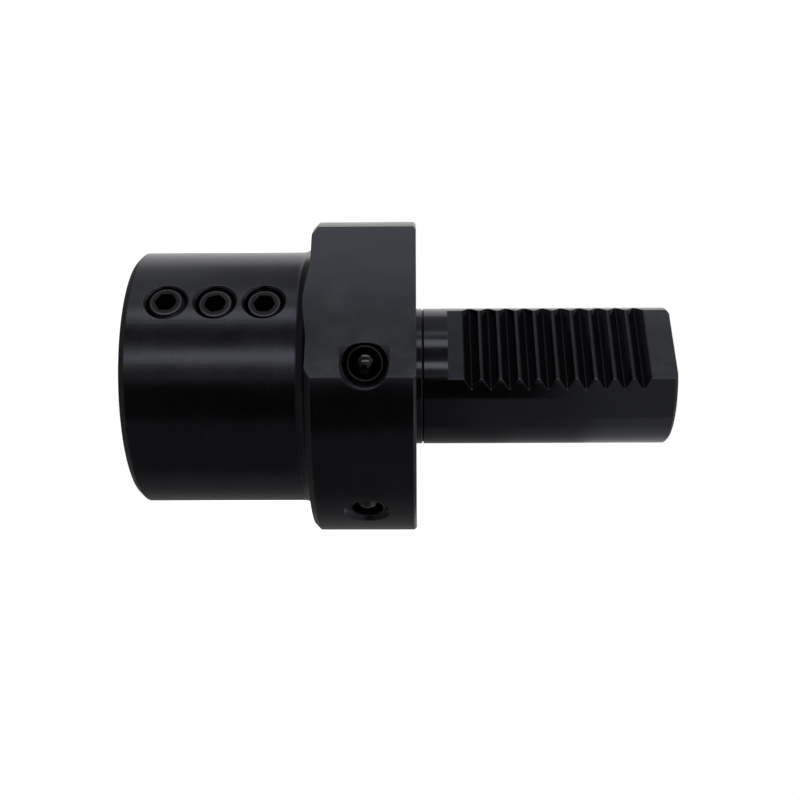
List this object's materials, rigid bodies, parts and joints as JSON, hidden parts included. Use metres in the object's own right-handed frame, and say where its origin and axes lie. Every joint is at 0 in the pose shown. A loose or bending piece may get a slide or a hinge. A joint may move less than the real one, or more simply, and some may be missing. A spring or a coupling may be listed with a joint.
{
  "type": "turret boring bar holder",
  "caption": "Round flanged tool holder with a toothed cylindrical shank, a clamping head with a round bore, radial clamp screws and plugged coolant drillings.",
  "frame": {"origin": "centre of the seat face, where the shank leaves the flange", "axes": "+Z along the shank, away from the head; the toothed flat, the flange's flat and the clamp screws face -Y"},
  "size_m": [0.068, 0.062, 0.115],
  "materials": {
    "blackened_steel": "black oxide over fine turning marks",
    "screw_steel": "black oxide",
    "sleeve_steel": "plain satin steel",
    "ball_steel": "polished steel"
  },
  "bodies": {
    "holder": {"holder_body": "blackened_steel", "end_plug_screw": "screw_steel", "plug_sleeve_flat": "sleeve_steel", "plug_ball_flat": "ball_steel", "plug_sleeve_side": "sleeve_steel", "plug_ball_side": "ball_steel"},
    "front_screw": {"clamp_screw_front": "screw_steel"},
    "middle_screw": {"clamp_screw_middle": "screw_steel"},
    "rear_screw": {"clamp_screw_rear": "screw_steel"}
  },
  "joints": [
    {"name": "front_screw_travel", "type": "slide", "parent": "holder", "child": "front_screw", "axis": [0, 1, 0], "range_m": [-0.004, 0.0051]},
    {"name": "middle_screw_travel", "type": "slide", "parent": "holder", "child": "middle_screw", "axis": [0, 1, 0], "range_m": [-0.004, 0.0045]},
    {"name": "rear_screw_travel", "type": "slide", "parent": "holder", "child": "rear_screw", "axis": [0, 1, 0], "range_m": [-0.004, 0.0044]}
  ]
}
